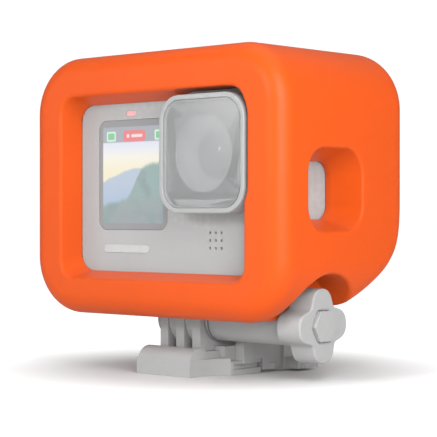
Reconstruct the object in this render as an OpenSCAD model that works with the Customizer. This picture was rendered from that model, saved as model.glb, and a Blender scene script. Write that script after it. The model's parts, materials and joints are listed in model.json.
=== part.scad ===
// Action camera in a foam float case, on a quick-release buckle with a thumb screw.
// +X runs to the lens side, +Y to the back, +Z up. The buckle stands on Z = 0.
// X = 0 and Y = 0 lie at the middle of the float case.

/* [Camera body] */
// Width of the camera
cam_w = 71.8; // [66:0.1:88]
// Height of the camera
cam_h = 50.8; // [48:0.1:62]
// Depth of the camera, without its lens cover
cam_d = 25.4; // [25:0.1:31]
// Corner radius of the camera, seen from the front
cam_r = 5; // [4.5:0.1:8]
// Wall of the two housing shells
shell_t = 1.8; // [1.6:0.1:2.4]
// Depth of the front shell
front_shell_d = 4; // [3.8:0.1:5]
// Thickness of the seal between the shells
gasket_t = 0.5; // [0.3:0.1:1]

/* [Lens and cover] */
// Width of the square lens cover
cover_w = 30.4; // [25.3:0.1:34]
// Height of the lens cover
cover_h = 31.3; // [27:0.1:36]
// Corner radius of the lens cover
cover_r = 7; // [4:0.1:9]
// Distance from the lens cover to the camera's side edge
cover_side = 1; // [0.5:0.1:3]
// Distance from the lens cover to the camera's top edge
cover_top = 1.45; // [0.5:0.05:4]
// Width of the frame that shows round the cover glass
cover_rim = 1.4; // [1:0.1:3]
// Thickness of the cover glass
cover_glass_t = 1.2; // [0.8:0.1:2]
// Wall of the round boss that the cover fits over
boss_wall = 1.5; // [1.2:0.1:1.8]
// Radius of the lens barrel
barrel_r = 9.5; // [7.9:0.1:9.8]
// Radius of the front lens
front_lens_r = 6.3; // [4:0.1:7]
// Height of the front lens's dome
dome_h = 2.4; // [1:0.1:2.6]

/* [Screens and buttons] */
// Width of the front screen's window
front_win_w = 27.3; // [22:0.1:29]
// Height of the front screen's window
front_win_h = 30.8; // [24:0.1:34]
// Distance from the front window to the camera's side edge
front_win_side = 8.9; // [7:0.1:12]
// Distance from the front window to the camera's top edge
front_win_top = 6.55; // [5:0.05:9]
// Width of the touch screen's glass on the back
touch_w = 58; // [50:0.1:60]
// Height of the touch screen's glass
touch_h = 38.5; // [32:0.1:40]
// Radius of the round shutter button
shutter_r = 5.5; // [4:0.1:6]
// Distance from the shutter button's middle to the camera's side edge
shutter_side = 17.9; // [14:0.1:24]
// Width of the oval mode button
mode_w = 3.6; // [3:0.1:5]
// Length of the oval mode button
mode_l = 9; // [6:0.1:12]

/* [Float case] */
// Foam on each side of the camera
case_side = 11.3; // [8:0.1:16]
// Foam under the camera
case_bottom = 10.2; // [8:0.05:11]
// Foam over the camera
case_top = 11.45; // [8:0.05:18]
// Foam in front of the camera's face
case_front = 7.8; // [6:0.1:10]
// Foam behind the camera
case_back = 20.9; // [14:0.1:28]
// Corner radius of the float case, seen from the front
case_r = 16; // [12:0.1:18]
// Radius that rounds the float case's edges
case_edge = 5.7; // [3:0.1:7]
// Width of the lip that holds the camera's face
case_lip = 2.1; // [1:0.1:4]
// Slope of the rear underside
rise_angle = 40; // [28:1:44]
// Foam left at the camera's lower rear edge
rise_wall = 6.2; // [3:0.1:7]

/* [Mount] */
// Height of the tilt axis above the table
pivot_z = 14.8; // [13.5:0.1:20]
// Distance from the tilt axis up to the camera
finger_reach = 11.25; // [11:0.05:16]
// Thickness of each of the buckle's three prongs
prong_t = 3; // [2.6:0.1:3.6]
// Gap between the prongs
prong_gap = 3.1; // [2.8:0.01:3.8]
// Radius of the prongs' round ends
prong_r = 7.5; // [6.5:0.1:7.8]
// Radius of the clamp bolt's shank
bolt_r = 2.5; // [2:0.1:3]
// Outer radius of the thumb screw's sleeve
sleeve_r = 5.6; // [4.4:0.1:6]
// Radius of the knob at its lobes
knob_r = 9.8; // [8:0.1:10.4]
// Thickness of the knob
knob_t = 8; // [6:0.1:9]
// Distance from the knob's face to the float case's side
knob_inset = 2.7; // [1:0.1:5]
// Length of the buckle in front of the tilt axis
buckle_front = 14.3; // [13:0.1:17]
// Length of the buckle behind the tilt axis
buckle_back = 27.5; // [24:0.1:30]
// Thickness of the latch arms
arm_t = 2.4; // [1.6:0.1:3]

/* [Fits] */
// Radial clearance of a turning or sliding fit
run_fit = 0.05; // [0.02:0.01:0.1]
// Gap beside pieces that are put in place and stay there
seat_fit = 0.05; // [0.02:0.01:0.15]

/* [Hidden] */
$fn = 64;
hull_fn = 32;
past = 1;          // how far a cut runs beyond the face that it opens
thin = 0.02;       // thickness of the sheets that a hull is drawn over

// Overall sizes and places of the float case and the camera
case_w = cam_w + 2 * case_side;
case_d = cam_d + case_front + case_back;
case_y0 = -case_d / 2;
case_y1 = case_d / 2;
cam_y0 = case_y0 + case_front;
cam_y1 = cam_y0 + cam_d;
cam_z0 = pivot_z + finger_reach;
cam_z1 = cam_z0 + cam_h;
cam_zc = (cam_z0 + cam_z1) / 2;
case_z0 = cam_z0 - case_bottom;
case_z1 = cam_z1 + case_top;
case_h = case_z1 - case_z0;
case_zc = (case_z0 + case_z1) / 2;
pivot_y = (cam_y0 + cam_y1) / 2;
split_y = cam_y0 + front_shell_d;
rear_y0 = split_y + gasket_t;
inner_w = cam_w - 2 * shell_t;
inner_h = cam_h - 2 * shell_t;
inner_r = cam_r - shell_t;
inner_x = inner_w / 2;

// Lens
lens_x = cam_w / 2 - cover_side - cover_w / 2;
lens_z = cam_z1 - cover_top - cover_h / 2;
cover_y0 = case_y0;
cover_gap = 0.1;
cover_y1 = cam_y0 - cover_gap;
glass_back = cover_y0 + cover_glass_t;
web_t = 1;
boss_r = barrel_r + boss_wall;
boss_y0 = glass_back + web_t + cover_gap;
barrel_y0 = boss_y0 + 1.2;
barrel_y1 = pivot_y + 1.5;
lens_seat_y = barrel_y0 + dome_h + 0.3;
front_lens_t = 3;
rear_lens_r = 4.8;
rear_lens_t = 2;
rear_lens_seat = 4;     // depth of the rear lens's bore
seal_d = 1.3;           // how far the cover's seal reaches out past the boss
seal_y0 = cover_y1 - 3.4;
seal_y1 = cover_y1 - 2.2;
sensor_w = 15;
cover_relief = 0.8;
cover_relief_top = 1.6;

// Screens
win_recess = 0.1;
win_t = 1.2;
win_ledge = 1;
front_win_x = -cam_w / 2 + front_win_side + front_win_w / 2;
front_win_z = cam_z1 - front_win_top - front_win_h / 2;
win_r = 3;
display_t = 1.9;
touch_t = 2.2;

// Status light, sound and badge
light_x = front_win_x - 0.6;
light_z = cam_z1 - 4.85;
light_w = 4;
light_h = 1.5;
mic_x = lens_x - 1.6;
mic_z = cam_z0 + 10.85;
mic_pitch = 2.05;
mic_hole_r = 0.4;
mic_r = 3.4;
badge_w = 17.9;
badge_h = 2.2;
badge_t = 0.25;
badge_x = front_win_x - 2.2;
badge_z = cam_z0 + 8.2;

// Buttons
shutter_x = -cam_w / 2 + shutter_side;
shutter_proud = 0.6;
shutter_travel = 0.5;
mode_z = cam_zc - 1.2;
mode_proud = 0.4;
mode_travel = 0.4;
flange_step = 0.9;
flange_t = 0.8;
flange_gap = 0.1;
switch_gap = 0.1;

// Folding fingers and their recess
finger_t = prong_gap - 0.2;
finger_r = prong_r - 0.2;
finger_x = (prong_t + prong_gap) / 2;
hinge_z = cam_z0 + finger_t / 2 + 0.1;
recess_d = finger_t + 0.3;
recess_w = 2 * (finger_x + finger_reach + finger_r + 1.5);
recess_l = 2 * finger_r + 0.3;
recess_wall = 1.2;
pin_r = 0.6;
recess_top = cam_z0 + recess_d + recess_wall;

// Housing screws
screw_r = 0.8;
head_r = 1.5;
head_t = 1;
pad_r = 2.5;
pad_t = 2;
screw_inset = 2.3;
screw_x = inner_x - screw_inset;
screw_dz = inner_h / 2 - screw_inset;

// Inner pieces
battery_x0 = -inner_x + 5.5;
battery_l = lens_x - barrel_r - 0.8 - battery_x0;
battery_h = 33;
battery_t = 12;
battery_z0 = recess_top + 0.2;
battery_y0 = rear_y0 + 1.2;
board_t = 1;
board_y0 = battery_y0 + battery_t + 0.5;
board_z0 = recess_top + 0.6;
board_z1 = cam_z1 - shell_t - 2.2;
sink_t = 1.1;
sink_y0 = board_y0 + board_t + 0.3;
sink_w = 44;
sink_h = 30;
sink_x = 6;
sink_z = cam_zc + 2;
fin_n = 11;
fin_pitch = 3.6;
fin_gap = 1.2;
mic_t = 1.2;
speaker_w = 9;
speaker_h = 10;
speaker_t = 5;
usb_y = pivot_y + 0.9;
usb_z = battery_z0 + battery_h + 4.2;
usb_w = 8.9;
usb_h = 3.2;
usb_l = 7.3;
usb_wall = 0.3;
card_x0 = -inner_x + screw_inset + pad_r + 0.4;
card_z = battery_z0 + battery_h + 5.3;
card_w = 8.4;
card_l = 14.5;
card_t = 0.7;
slot_wall = 0.4;

// Battery door on the -X side
door_w = 17;
door_h = 42;
door_t = 1.2;
door_y = (rear_y0 + cam_y1) / 2;
door_z = cam_zc + 0.05;
door_r = 4;
door_ledge = 0.6;
plug_t = 1.5;
seal_w = 0.9;
door_pin_r = 0.4;
door_pin_z = door_z - door_h / 2 + 1.4;
door_pin_end = 0.8;     // length of the pin past each side of the door
latch_pocket = 0.6;
latch_w = 8;
latch_h = 5;
latch_z = door_z + door_h / 2 - 5;

// Three-prong joint and thumb screw
prongs_w = 3 * prong_t + 2 * prong_gap;
knob_x1 = case_w / 2 - knob_inset;
knob_x0 = knob_x1 - knob_t;
washer_t = 1;
washer_r = sleeve_r + 0.5;
washer_x0 = prongs_w / 2 + run_fit;
sleeve_x0 = washer_x0 + washer_t + run_fit;
hex_flat = 8;
hex_r = hex_flat / sqrt(3);
head_proud = 1;
knob_turn = 3;      // turn of the knob's lobes from level
bolt_head_t = 3.5;
nut_t = 2.6;
nut_boss_t = 3;
nut_boss_r = 5.5;
bolt_x0 = -prongs_w / 2 - nut_boss_t + 0.2;
case_scoop_r = 13;
scoop_y = pivot_y + 0.9;
scoop_z = pivot_z + 0.6;
case_groove_r = sleeve_r + 1.8;
prong_room = 1.5;       // space between the prongs' round ends and the foam
prong_side_room = 1;

// Openings of the float case
front_mouth_grow = 1.8;     // how much wider the front window's mouth is than its inner end
front_mouth_h = cam_h + 0.4;
side_mouth_w = 22.7;
side_mouth_h = 22;
side_mouth_r = 7;
side_hole_w = 18;
side_hole_h = 15.4;
side_hole_r = 4;
side_y = pivot_y + 2;
top_mouth_r = 9.5;
top_hole_r = 7;
rise_z1 = cam_z0 - rise_wall / cos(rise_angle) + case_back * tan(rise_angle);
rear_mouth_w = touch_w + 6;
rear_mouth_r = 8;
rear_mouth_z0 = rise_z1 + 8;
rear_mouth_z1 = case_z1 - 8.5;

// Buckle
buckle_y0 = pivot_y - buckle_front;
buckle_y1 = pivot_y + buckle_back;
block_w = 20.2;
block_end_w = 27.2;
block_y1 = pivot_y - 1.8;
block_h = 4.6;
bulge_r = 4.2;
bulge_y = buckle_y0 + 4.3;
bulge_z = 3.4;
bulge_w = 19.4;
grip_sag = 1.6;
flange_w = 28.4;
flange_y1 = pivot_y + 10;
flange_h = 3.8;
rail_h = 1.4;
rail_d = 1.2;
body_w = 22.8;
body_h = 7.7;
body_y1 = pivot_y + 7.5;
tongue_w = 18.8;
tongue_h = 4;
tongue_y1 = pivot_y + 22;
rear_lift = 0.7;
arm_x1 = 14.6;
arm_xc = arm_x1 - arm_t / 2;
arm_h = 9.2;
arm_pivot_y = pivot_y + 6.4;
root_l = 3.8;
tail_y0 = pivot_y + 18;
tail_x1 = arm_x1 + 1.2;
tail_h = 8.8;
tab_w = 4.7;
tab_h = 3.7;
tab_y0 = tail_y0 + 0.7;
rib_n = 4;
rib_d = 0.5;
tooth_d = 0.8;

// Grip arc: a circle through both ends of the block's side, curving inwards between them
grip_a = [block_w / 2, buckle_y0];
grip_b = [block_end_w / 2, block_y1];
grip_chord = norm(grip_b - grip_a);
grip_r = (grip_chord * grip_chord / 4 + grip_sag * grip_sag) / (2 * grip_sag);
grip_dir = (grip_b - grip_a) / grip_chord;
grip_c = (grip_a + grip_b) / 2 + (grip_r - grip_sag) * [grip_dir[1], -grip_dir[0]];

// ---------- shared shapes ----------

// Rectangle with round corners, centred on the origin
module rect_r(w, h, r) {
    rr = min(r, w / 2 - 0.01, h / 2 - 0.01);
    square([w - 2 * rr, h], center = true);
    square([w, h - 2 * rr], center = true);
    for (sx = [-1, 1], sy = [-1, 1])
        translate([sx * (w / 2 - rr), sy * (h / 2 - rr)]) circle(rr);
}

// Plates that face along X, Y or Z, from one coordinate to another
module plate_x(wy, hz, r, x0, x1, cy, cz)
    translate([x0, cy, cz]) rotate([90, 0, 90]) linear_extrude(x1 - x0) rect_r(wy, hz, r);
module plate_y(wx, hz, r, y0, y1, cx, cz)
    translate([cx, y1, cz]) rotate([90, 0, 0]) linear_extrude(y1 - y0) rect_r(wx, hz, r);
module plate_z(wx, wy, r, z0, z1, cx, cy)
    translate([cx, cy, z0]) linear_extrude(z1 - z0) rect_r(wx, wy, r);

// Rods along X, Y or Z
module rod_x(r, x0, x1, y, z) translate([x0, y, z]) rotate([0, 90, 0]) cylinder(h = x1 - x0, r = r);
module rod_y(r, y0, y1, x, z) translate([x, y1, z]) rotate([90, 0, 0]) cylinder(h = y1 - y0, r = r);
module rod_z(r, z0, z1, x, y) translate([x, y, z0]) cylinder(h = z1 - z0, r = r);

// Box between two corners
module block(a, b) translate(a) cube(b - a);

// Hexagonal bar along X with flats above and below
module hex_x(r, x0, x1, y, z)
    translate([x0, y, z]) rotate([90, 0, 90]) linear_extrude(x1 - x0) circle(r, $fn = 6);

// ---------- buckle ----------

module prong(x0) {
    rod_x(prong_r, x0, x0 + prong_t, pivot_y, pivot_z);
    block([x0, pivot_y - prong_r, flange_h], [x0 + prong_t, pivot_y + prong_r, pivot_z]);
}

module front_block() {
    difference() {
        linear_extrude(block_h)
            polygon([[-block_w / 2, buckle_y0], [block_w / 2, buckle_y0],
                [block_end_w / 2, block_y1], [-block_end_w / 2, block_y1]]);
        for (side = [-1, 1])
            rod_z(grip_r, -past, block_h + past, side * grip_c[0], grip_c[1], $fn = 128);
    }
    intersection() {
        rod_x(bulge_r, -bulge_w / 2, bulge_w / 2, bulge_y, bulge_z);
        block([-block_w, buckle_y0, 0], [block_w, block_y1, body_h + bulge_r]);
    }
    block([-bulge_w / 2, bulge_y, 0], [bulge_w / 2, block_y1, bulge_z + bulge_r - 1]);
}

module mount_buckle() color([0.66, 0.66, 0.65]) {
    difference() {
        union() {
            front_block();
            block([-flange_w / 2, block_y1, 0], [flange_w / 2, flange_y1, flange_h]);
            block([-body_w / 2, block_y1, 0], [body_w / 2, body_y1, body_h]);
            block([-tongue_w / 2, body_y1, rear_lift], [tongue_w / 2, tongue_y1, tongue_h]);
            for (side = [-1, 1])
                block([side * (arm_x1 + body_w / 2) / 2 - (arm_x1 - body_w / 2) / 2,
                        arm_pivot_y - root_l, flange_h - 1],
                    [side * (arm_x1 + body_w / 2) / 2 + (arm_x1 - body_w / 2) / 2,
                        arm_pivot_y - 2 * run_fit, arm_h]);
            for (i = [0:2]) prong(-prongs_w / 2 + i * (prong_t + prong_gap));
            rod_x(nut_boss_r, -prongs_w / 2 - nut_boss_t, -prongs_w / 2, pivot_y, pivot_z);
        }
        // room for the camera's fingers between the prongs
        for (side = [-1, 1])
            rod_x(finger_r + 0.5, side * finger_x - prong_gap / 2, side * finger_x + prong_gap / 2,
                pivot_y, pivot_z);
        rod_x(bolt_r + run_fit, -prongs_w / 2 - nut_boss_t - past, prongs_w / 2 + past,
            pivot_y, pivot_z);
        hex_x(hex_r + seat_fit, -prongs_w / 2 - nut_boss_t - past,
            -prongs_w / 2 - nut_boss_t + nut_t + 0.1, pivot_y, pivot_z);
        // grooves that slide on the rails of a base
        for (side = [-1, 1])
            block([side * flange_w / 2 - rail_d, block_y1 + past, flange_h - rail_h - 0.9],
                [side * flange_w / 2 + rail_d, flange_y1 + past, flange_h - 0.9]);
        // sockets for the latch arms' roots
        for (side = [-1, 1])
            rod_z(arm_t / 2 + run_fit, flange_h, arm_h + past, side * arm_xc, arm_pivot_y);
    }
}

module latch_arm(side) {
    mid = arm_pivot_y + 4;
    difference() {
        union() {
            rod_z(arm_t / 2, flange_h + run_fit, arm_h, arm_xc, arm_pivot_y);
            block([arm_xc - arm_t / 2, arm_pivot_y, flange_h + run_fit],
                [arm_x1, tail_y0 + 1, arm_h]);
            block([arm_xc - arm_t / 2, flange_y1 + 0.3, rear_lift],
                [arm_x1, tail_y0 + 1, arm_h]);
            block([tail_x1 - arm_t, tail_y0, rear_lift], [tail_x1, buckle_y1, tail_h]);
            block([tail_x1 - past, tab_y0, rear_lift], [tail_x1 + tab_w, buckle_y1, tab_h]);
            // tooth that catches in the base
            translate([0, 0, rear_lift]) linear_extrude(1.8)
                polygon([[arm_x1 - 0.5, mid + 0.5], [arm_x1 + tooth_d, mid + 3.5],
                    [arm_x1 + tooth_d, mid + 4.3], [arm_x1 - 0.5, mid + 4.3]]);
        }
        // finger ribs
        for (i = [0:rib_n - 1])
            rod_z(rib_d, rear_lift - past, tab_h + past, tail_x1 + tab_w + 0.15,
                tab_y0 + (i + 0.7) * (buckle_y1 - tab_y0) / (rib_n + 0.4));
    }
}

module latch_arm_right() color([0.62, 0.62, 0.61]) latch_arm(1);
module latch_arm_left() color([0.62, 0.62, 0.61]) mirror([1, 0, 0]) latch_arm(1);

module lock_nut() color([0.75, 0.75, 0.76])
    difference() {
        hex_x(hex_r, -prongs_w / 2 - nut_boss_t, -prongs_w / 2 - nut_boss_t + nut_t,
            pivot_y, pivot_z);
        rod_x(bolt_r + run_fit, -prongs_w / 2 - nut_boss_t - past, -prongs_w / 2 + past,
            pivot_y, pivot_z);
    }

// ---------- thumb screw ----------

// Outline of the knob: a smooth wave with four blunt lobes
function knob_point(a) =
    let (t = 4 * (a - knob_turn))
    knob_r * (0.875 + 0.155 * cos(t) - 0.03 * cos(2 * t)) * [cos(a), sin(a)];

module thumb_knob() color([0.64, 0.64, 0.63])
    difference() {
        translate([knob_x0, pivot_y, pivot_z]) rotate([90, 0, 90]) linear_extrude(knob_t)
            polygon([for (a = [0:4:356]) knob_point(a)]);
        rod_x(bolt_r + seat_fit, knob_x0 - past, knob_x1 + past, pivot_y, pivot_z);
        hex_x(hex_r + seat_fit, knob_x1 + head_proud - bolt_head_t - 0.05, knob_x1 + past,
            pivot_y, pivot_z);
    }

module screw_sleeve() color([0.6, 0.6, 0.6])
    difference() {
        rod_x(sleeve_r, sleeve_x0, knob_x0, pivot_y, pivot_z);
        rod_x(bolt_r + seat_fit, sleeve_x0 - past, knob_x0 + past, pivot_y, pivot_z);
    }

module clamp_bolt() color([0.78, 0.78, 0.78]) {
    rod_x(bolt_r, bolt_x0, knob_x1 + head_proud - bolt_head_t + 0.5, pivot_y, pivot_z);
    hex_x(hex_r, knob_x1 + head_proud - bolt_head_t, knob_x1 + head_proud, pivot_y, pivot_z);
}

module screw_washer() color([0.75, 0.75, 0.76])
    difference() {
        rod_x(washer_r, washer_x0, washer_x0 + washer_t, pivot_y, pivot_z);
        rod_x(bolt_r + run_fit, washer_x0 - past, washer_x0 + washer_t + past, pivot_y, pivot_z);
    }

// ---------- float case ----------

// A block with large corners seen from the front and softly rounded edges
module soft_block(w, h, r, e, y0, y1, zc)
    hull()
        for (sx = [-1, 1], sz = [-1, 1], y = [y0 + e, y1 - e])
            translate([sx * (w / 2 - r), y, zc + sz * (h / 2 - r)]) rotate([90, 0, 0])
                rotate_extrude($fn = hull_fn) translate([r - e, 0]) intersection() {
                    circle(e, $fn = hull_fn);
                    translate([0, -e]) square([e, 2 * e]);
                }

// A tapered opening that faces along Y
module funnel_y(w0, h0, w1, h1, r, y0, y1, cx, cz)
    hull() {
        plate_y(w0, h0, r, y0, y0 + thin, cx, cz, $fn = hull_fn);
        plate_y(w1, h1, r, y1 - thin, y1, cx, cz, $fn = hull_fn);
    }

// Wedge that slopes the rear underside, clear of the camera by rise_wall
module rear_rise() {
    corner = [cam_y1, cam_z0];
    away = rise_wall * [sin(rise_angle), -cos(rise_angle)];
    along = [cos(rise_angle), sin(rise_angle)];
    p = corner + away;
    translate([-case_w, 0, 0]) rotate([90, 0, 90]) linear_extrude(2 * case_w)
        polygon([p - 40 * along, p + 60 * along, p + 60 * along + [0, -80],
            p - 40 * along + [0, -80]]);
}

module float_case() color([0.96, 0.38, 0.16])
    difference() {
        soft_block(case_w, case_h, case_r, case_edge, case_y0, case_y1, case_zc);
        // the camera and its lens cover
        plate_y(cam_w + 2 * seat_fit, cam_h + 2 * seat_fit, cam_r, cam_y0 - seat_fit,
            cam_y1 + seat_fit, 0, cam_zc);
        plate_y(cover_w + 2 * cover_relief, cover_h + cover_relief + cover_relief_top,
            cover_r + cover_relief, case_y0 - past, cam_y0 + past, lens_x,
            lens_z + (cover_relief_top - cover_relief) / 2);
        // front window
        funnel_y(cam_w - 2 * case_lip + front_mouth_grow, front_mouth_h, cam_w - 2 * case_lip,
            cam_h - 2 * case_lip, cam_r, case_y0 - thin, cam_y0 + thin, 0, cam_zc);
        // rear window over the touch screen
        hull() {
            plate_y(touch_w + 1, touch_h + 1, 4, cam_y1 - thin, cam_y1 + thin, 0, cam_zc,
                $fn = hull_fn);
            plate_y(rear_mouth_w, rear_mouth_z1 - rear_mouth_z0, rear_mouth_r, case_y1,
                case_y1 + past, 0, (rear_mouth_z0 + rear_mouth_z1) / 2, $fn = hull_fn);
        }
        // finger hole over the mode button
        hull() {
            plate_x(side_hole_w, side_hole_h, side_hole_r, cam_w / 2 - thin, cam_w / 2 + 2,
                side_y, mode_z, $fn = hull_fn);
            plate_x(side_mouth_w, side_mouth_h, side_mouth_r, case_w / 2 - thin, case_w / 2 + past,
                side_y, mode_z, $fn = hull_fn);
        }
        // finger hole over the shutter button
        translate([shutter_x, pivot_y, cam_z1]) cylinder(h = case_top + 0.01, r1 = top_hole_r,
            r2 = top_mouth_r);
        rod_z(top_hole_r, cam_z1 - past, cam_z1 + past, shutter_x, pivot_y);
        // rear underside, and the room round the prongs, the screw and the knob
        rear_rise();
        block([-prongs_w / 2 - nut_boss_t - prong_side_room, pivot_y - prong_r - prong_room,
                case_z0 - past],
            [prongs_w / 2 + prong_side_room, pivot_y + prong_r + prong_room, cam_z0 + past]);
        rod_x(case_groove_r, 0, knob_x0, pivot_y, pivot_z);
        rod_x(case_scoop_r, cam_w / 2 - 0.5, case_w, scoop_y, scoop_z);
    }

// ---------- housing ----------

module camera_outline(y0, y1) plate_y(cam_w, cam_h, cam_r, y0, y1, 0, cam_zc);
module camera_inside(y0, y1) plate_y(inner_w, inner_h, inner_r, y0, y1, 0, cam_zc);

module at_screws() for (sx = [-1, 1], sz = [-1, 1])
    translate([sx * screw_x, 0, cam_zc + sz * screw_dz]) children();

module front_housing() color([0.68, 0.68, 0.67])
    difference() {
        union() {
            difference() {
                camera_outline(cam_y0, split_y);
                camera_inside(cam_y0 + shell_t, split_y + past);
            }
            at_screws() rod_y(pad_r, cam_y0 + shell_t / 2, split_y, 0, 0);
        }
        rod_y(barrel_r + seat_fit, cam_y0 - past, split_y + past, lens_x, lens_z);
        at_screws() rod_y(screw_r, cam_y0 + shell_t, split_y + past, 0, 0);
        plate_y(front_win_w, front_win_h, win_r, cam_y0 - past, cam_y0 + win_recess + win_t,
            front_win_x, front_win_z);
        plate_y(front_win_w - 2 * win_ledge, front_win_h - 2 * win_ledge, win_r - win_ledge,
            cam_y0, split_y, front_win_x, front_win_z);
        plate_y(light_w, light_h, light_h / 2, cam_y0 - past, split_y, light_x, light_z);
        for (i = [-1:1], j = [-1:1])
            rod_y(mic_hole_r, cam_y0 - past, split_y, mic_x + i * mic_pitch,
                mic_z + j * mic_pitch, $fn = 24);
    }

module rear_housing() color([0.66, 0.66, 0.65])
    difference() {
        union() {
            difference() {
                camera_outline(rear_y0, cam_y1);
                camera_inside(rear_y0 - past, cam_y1 - shell_t);
            }
            // box round the recess for the folding fingers
            block([-recess_w / 2 - recess_wall, rear_y0, cam_z0 + 1],
                [recess_w / 2 + recess_wall, pivot_y + recess_l / 2 + recess_wall, recess_top]);
            at_screws() rod_y(pad_r, rear_y0, rear_y0 + pad_t, 0, 0);
        }
        block([-recess_w / 2, pivot_y - recess_l / 2, cam_z0 - past],
            [recess_w / 2, pivot_y + recess_l / 2, cam_z0 + recess_d]);
        for (side = [-1, 1])
            rod_y(pin_r, pivot_y - recess_l / 2 - 0.5, pivot_y + recess_l / 2 + 0.8,
                side * finger_x, hinge_z, $fn = 24);
        at_screws() rod_y(screw_r + seat_fit, rear_y0 - past, rear_y0 + pad_t + past, 0, 0);
        plate_y(touch_w, touch_h, win_r, cam_y1 - win_recess - win_t, cam_y1 + past, 0, cam_zc);
        plate_y(touch_w - 2 * win_ledge, touch_h - 2 * win_ledge, win_r - win_ledge,
            cam_y1 - 2 * shell_t, cam_y1, 0, cam_zc);
        rod_z(shutter_r + run_fit, cam_z1 - 2 * shell_t, cam_z1 + past, shutter_x, pivot_y);
        plate_x(mode_w + 2 * run_fit, mode_l + 2 * run_fit, mode_w, cam_w / 2 - 2 * shell_t,
            cam_w / 2 + past, pivot_y, mode_z);
        // battery door, its plug and its hinge pin
        plate_x(door_w + 2 * seat_fit, door_h + 2 * seat_fit, door_r, -cam_w / 2 - past, -cam_w / 2 + door_t,
            door_y, door_z);
        plate_x(door_w - 2 * door_ledge, door_h - 2 * door_ledge, door_r - door_ledge,
            -cam_w / 2, -cam_w / 2 + 2 * shell_t, door_y, door_z);
        rod_y(door_pin_r, door_y - door_w / 2 - door_pin_end, door_y + door_w / 2 + door_pin_end,
            -cam_w / 2 + door_t / 2, door_pin_z, $fn = 24);
    }

module housing_gasket() color([0.2, 0.2, 0.2])
    difference() {
        camera_outline(split_y, rear_y0);
        camera_inside(split_y - past, rear_y0 + past);
    }

module housing_screws() color([0.78, 0.78, 0.8])
    at_screws() {
        rod_y(screw_r, cam_y0 + shell_t + 0.2, rear_y0 + pad_t + head_t / 2, 0, 0);
        rod_y(head_r, rear_y0 + pad_t, rear_y0 + pad_t + head_t, 0, 0);
    }

// ---------- folding fingers ----------

module finger(side) {
    x0 = side * finger_x - finger_t / 2;
    difference() {
        union() {
            rod_x(finger_r, x0, x0 + finger_t, pivot_y, pivot_z);
            block([x0, pivot_y - finger_r, pivot_z], [x0 + finger_t, pivot_y + finger_r, hinge_z]);
            rod_y(finger_t / 2, pivot_y - finger_r, pivot_y + finger_r, side * finger_x, hinge_z);
        }
        rod_x(bolt_r + run_fit, x0 - past, x0 + finger_t + past, pivot_y, pivot_z);
        rod_y(pin_r, pivot_y - finger_r - past, pivot_y + finger_r + past, side * finger_x,
            hinge_z, $fn = 24);
    }
}

module finger_left() color([0.6, 0.6, 0.6]) finger(-1);
module finger_right() color([0.6, 0.6, 0.6]) finger(1);

module finger_pins() color([0.78, 0.78, 0.8])
    for (side = [-1, 1])
        rod_y(pin_r, pivot_y - recess_l / 2 - 0.5, pivot_y + recess_l / 2 + 0.8,
            side * finger_x, hinge_z, $fn = 24);

module finger_base() color([0.5, 0.5, 0.52])
    block([-prong_t / 2, pivot_y - finger_r, cam_z0], [prong_t / 2, pivot_y + finger_r,
        cam_z0 + recess_d]);

// ---------- lens ----------

module cover_plate(inset, y0, y1)
    plate_y(cover_w - 2 * inset, cover_h - 2 * inset, cover_r - inset, y0, y1, lens_x, lens_z);

// Round boss on the camera's face, which the cover fits over
module lens_boss() color([0.66, 0.66, 0.65])
    difference() {
        rod_y(boss_r, boss_y0, cam_y0, lens_x, lens_z);
        rod_y(barrel_r + seat_fit, boss_y0 - past, cam_y0 + past, lens_x, lens_z);
    }

module lens_cover_frame() color([0.66, 0.66, 0.65])
    difference() {
        cover_plate(0, cover_y0, cover_y1);
        cover_plate(cover_rim, cover_y0 - past, glass_back);
        rod_y(barrel_r + 0.2, cover_y0, cover_y1 + past, lens_x, lens_z);
        rod_y(boss_r + run_fit, glass_back + web_t, cover_y1 + past, lens_x, lens_z);
        rod_y(boss_r + seal_d, seal_y0, seal_y1, lens_x, lens_z);
    }

module lens_cover_glass() color([0.55, 0.57, 0.58])
    cover_plate(cover_rim + seat_fit, cover_y0 + 0.15, glass_back);

module lens_cover_seal() color([0.2, 0.2, 0.2])
    difference() {
        rod_y(boss_r + seal_d - seat_fit, seal_y0 + seat_fit, seal_y1 - seat_fit, lens_x, lens_z);
        rod_y(boss_r + run_fit, seal_y0, seal_y1, lens_x, lens_z);
    }

module lens_barrel() color([0.3, 0.3, 0.3])
    difference() {
        rod_y(barrel_r, barrel_y0, barrel_y1, lens_x, lens_z);
        translate([lens_x, barrel_y0 - 0.01, lens_z]) rotate([-90, 0, 0])
            cylinder(h = lens_seat_y - barrel_y0, r1 = barrel_r - 0.7, r2 = front_lens_r + 0.1);
        rod_y(front_lens_r + seat_fit, barrel_y0, lens_seat_y + front_lens_t, lens_x, lens_z);
        rod_y(rear_lens_r - 0.6, barrel_y0, barrel_y1 + past, lens_x, lens_z);
        rod_y(rear_lens_r + seat_fit, barrel_y1 - rear_lens_seat, barrel_y1 + past, lens_x, lens_z);
    }

// Disc with a domed front, turned as one profile about the lens axis
module front_lens() color([0.25, 0.28, 0.32]) {
    dome_r = (front_lens_r * front_lens_r + dome_h * dome_h) / (2 * dome_h);
    translate([lens_x, lens_seat_y, lens_z]) rotate([90, 0, 0]) rotate_extrude() {
        translate([0, -front_lens_t + 0.1]) square([front_lens_r, front_lens_t - 0.1]);
        intersection() {
            translate([0, dome_h - dome_r]) circle(dome_r, $fn = 128);
            translate([0, -0.3]) square([front_lens_r, dome_h + 1]);
        }
    }
}

module rear_lens() color([0.35, 0.38, 0.42])
    rod_y(rear_lens_r, barrel_y1 - rear_lens_seat, barrel_y1 - rear_lens_seat + rear_lens_t,
        lens_x, lens_z);

module sensor_board() color([0.1, 0.35, 0.2])
    plate_y(sensor_w, sensor_w, 1, barrel_y1 + 0.1, barrel_y1 + 1.3, lens_x, lens_z);

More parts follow.
